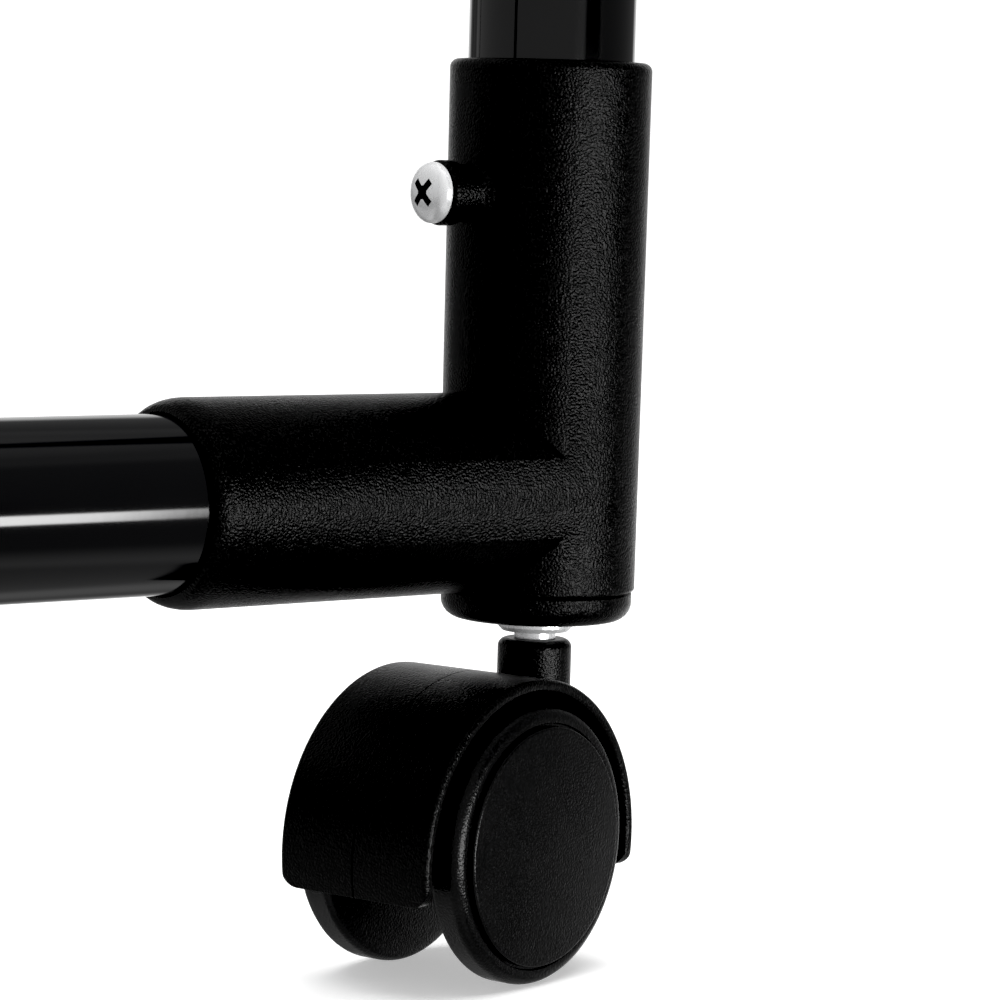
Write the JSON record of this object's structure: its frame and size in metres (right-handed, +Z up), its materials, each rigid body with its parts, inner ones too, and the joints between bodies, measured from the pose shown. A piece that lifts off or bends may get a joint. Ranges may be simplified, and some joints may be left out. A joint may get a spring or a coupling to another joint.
{
  "type": "rolling clothes rack",
  "caption": "Tall rolling clothes rack with parallel hanging rails on telescoping uprights, plastic corner connectors, low base bars and twin-wheel swivel casters.",
  "frame": {"origin": "on the floor, midway between the four casters, under the middle of the rack", "axes": "+X along the hanging rails, +Y towards the back rail, +Z up"},
  "size_m": [1.1028, 0.4816, 1.5406],
  "materials": {
    "fittings_plastic": "black polypropylene with a fine spark-eroded grain",
    "caster_plastic": "black moulded nylon, smooth satin with a faint grain",
    "wheel_plastic": "black moulded nylon, fine grain on the face",
    "gloss_black_tube": "gloss black powder coat on steel tube",
    "satin_black_tube": "satin black powder coat on steel tube",
    "zinc_plated_steel": "bright zinc plating",
    "axle_steel": "plain turned steel"
  },
  "bodies": {
    "base": {"corner_connector_back_left": "fittings_plastic", "clamp_screw_back_left": "zinc_plated_steel", "end_plug_back_left": "fittings_plastic", "caster_stem_back_left": "zinc_plated_steel", "lower_upright_back_left": "satin_black_tube", "tee_connector_back_left": "fittings_plastic", "corner_connector_back_right": "fittings_plastic", "clamp_screw_back_right": "zinc_plated_steel", "end_plug_back_right": "fittings_plastic", "caster_stem_back_right": "zinc_plated_steel", "lower_upright_back_right": "satin_black_tube", "tee_connector_back_right": "fittings_plastic", "corner_connector_front_left": "fittings_plastic", "clamp_screw_front_left": "zinc_plated_steel", "end_plug_front_left": "fittings_plastic", "caster_stem_front_left": "zinc_plated_steel", "lower_upright_front_left": "satin_black_tube", "tee_connector_front_left": "fittings_plastic", "corner_connector_front_right": "fittings_plastic", "clamp_screw_front_right": "zinc_plated_steel", "end_plug_front_right": "fittings_plastic", "caster_stem_front_right": "zinc_plated_steel", "lower_upright_front_right": "satin_black_tube", "tee_connector_front_right": "fittings_plastic", "side_base_tube_left": "gloss_black_tube", "side_base_tube_right": "gloss_black_tube", "base_bar_back": "gloss_black_tube", "base_bar_front": "gloss_black_tube"},
    "back_rail_frame": {"inner_upright_back_left": "satin_black_tube", "inner_upright_back_right": "satin_black_tube", "top_elbow_back_left": "fittings_plastic", "top_elbow_back_right": "fittings_plastic", "hanging_rail_back": "gloss_black_tube"},
    "front_rail_frame": {"inner_upright_front_left": "satin_black_tube", "inner_upright_front_right": "satin_black_tube", "top_elbow_front_left": "fittings_plastic", "top_elbow_front_right": "fittings_plastic", "hanging_rail_front": "gloss_black_tube"},
    "lock_back_left": {"twist_lock_back_left": "fittings_plastic"},
    "caster_back_left": {"caster_hood_back_left": "caster_plastic", "caster_axle_back_left": "axle_steel"},
    "wheel_body_a_back_left": {"wheel_a_back_left": "wheel_plastic"},
    "wheel_body_b_back_left": {"wheel_b_back_left": "wheel_plastic"},
    "lock_back_right": {"twist_lock_back_right": "fittings_plastic"},
    "caster_back_right": {"caster_hood_back_right": "caster_plastic", "caster_axle_back_right": "axle_steel"},
    "wheel_body_a_back_right": {"wheel_a_back_right": "wheel_plastic"},
    "wheel_body_b_back_right": {"wheel_b_back_right": "wheel_plastic"},
    "lock_front_left": {"twist_lock_front_left": "fittings_plastic"},
    "caster_front_left": {"caster_hood_front_left": "caster_plastic", "caster_axle_front_left": "axle_steel"},
    "wheel_body_a_front_left": {"wheel_a_front_left": "wheel_plastic"},
    "wheel_body_b_front_left": {"wheel_b_front_left": "wheel_plastic"},
    "lock_front_right": {"twist_lock_front_right": "fittings_plastic"},
    "caster_front_right": {"caster_hood_front_right": "caster_plastic", "caster_axle_front_right": "axle_steel"},
    "wheel_body_a_front_right": {"wheel_a_front_right": "wheel_plastic"},
    "wheel_body_b_front_right": {"wheel_b_front_right": "wheel_plastic"}
  },
  "joints": [
    {"name": "back_rail_height", "type": "slide", "parent": "base", "child": "back_rail_frame", "axis": [0, 0, 1], "range_m": [0, 0.3]},
    {"name": "front_rail_height", "type": "slide", "parent": "base", "child": "front_rail_frame", "axis": [0, 0, 1], "range_m": [0, 0.3]},
    {"name": "lock_turn_back_left", "type": "hinge", "parent": "base", "child": "lock_back_left", "pos_m": [-0.52, 0.22, 0.848], "axis": [0, 0, 1], "range_deg": [0, 90]},
    {"name": "swivel_back_left", "type": "hinge", "parent": "base", "child": "caster_back_left", "pos_m": [-0.52, 0.22, 0.055], "axis": [0, 0, 1], "continuous": true},
    {"name": "roll_a_back_left", "type": "hinge", "parent": "caster_back_left", "child": "wheel_body_a_back_left", "pos_m": [-0.49924, 0.20285, 0.026], "axis": [0.9681, 0.2504, 0], "continuous": true},
    {"name": "roll_b_back_left", "type": "hinge", "parent": "caster_back_left", "child": "wheel_body_b_back_left", "pos_m": [-0.52984, 0.19494, 0.026], "axis": [0.9681, 0.2504, 0], "continuous": true},
    {"name": "lock_turn_back_right", "type": "hinge", "parent": "base", "child": "lock_back_right", "pos_m": [0.52, 0.22, 0.848], "axis": [0, 0, 1], "range_deg": [0, 90]},
    {"name": "swivel_back_right", "type": "hinge", "parent": "base", "child": "caster_back_right", "pos_m": [0.52, 0.22, 0.055], "axis": [0, 0, 1], "continuous": true},
    {"name": "roll_a_back_right", "type": "hinge", "parent": "caster_back_right", "child": "wheel_body_a_back_right", "pos_m": [0.54075, 0.20285, 0.026], "axis": [0.9681, 0.2504, 0], "continuous": true},
    {"name": "roll_b_back_right", "type": "hinge", "parent": "caster_back_right", "child": "wheel_body_b_back_right", "pos_m": [0.51016, 0.19494, 0.026], "axis": [0.9681, 0.2504, 0], "continuous": true},
    {"name": "lock_turn_front_left", "type": "hinge", "parent": "base", "child": "lock_front_left", "pos_m": [-0.52, -0.22, 0.848], "axis": [0, 0, 1], "range_deg": [0, 90]},
    {"name": "swivel_front_left", "type": "hinge", "parent": "base", "child": "caster_front_left", "pos_m": [-0.52, -0.22, 0.055], "axis": [0, 0, 1], "continuous": true},
    {"name": "roll_a_front_left", "type": "hinge", "parent": "caster_front_left", "child": "wheel_body_a_front_left", "pos_m": [-0.54075, -0.20285, 0.026], "axis": [-0.9681, -0.2504, 0], "continuous": true},
    {"name": "roll_b_front_left", "type": "hinge", "parent": "caster_front_left", "child": "wheel_body_b_front_left", "pos_m": [-0.51016, -0.19494, 0.026], "axis": [-0.9681, -0.2504, 0], "continuous": true},
    {"name": "lock_turn_front_right", "type": "hinge", "parent": "base", "child": "lock_front_right", "pos_m": [0.52, -0.22, 0.848], "axis": [0, 0, 1], "range_deg": [0, 90]},
    {"name": "swivel_front_right", "type": "hinge", "parent": "base", "child": "caster_front_right", "pos_m": [0.52, -0.22, 0.055], "axis": [0, 0, 1], "continuous": true},
    {"name": "roll_a_front_right", "type": "hinge", "parent": "caster_front_right", "child": "wheel_body_a_front_right", "pos_m": [0.49924, -0.20285, 0.026], "axis": [-0.9681, -0.2504, 0], "continuous": true},
    {"name": "roll_b_front_right", "type": "hinge", "parent": "caster_front_right", "child": "wheel_body_b_front_right", "pos_m": [0.52984, -0.19494, 0.026], "axis": [-0.9681, -0.2504, 0], "continuous": true}
  ]
}
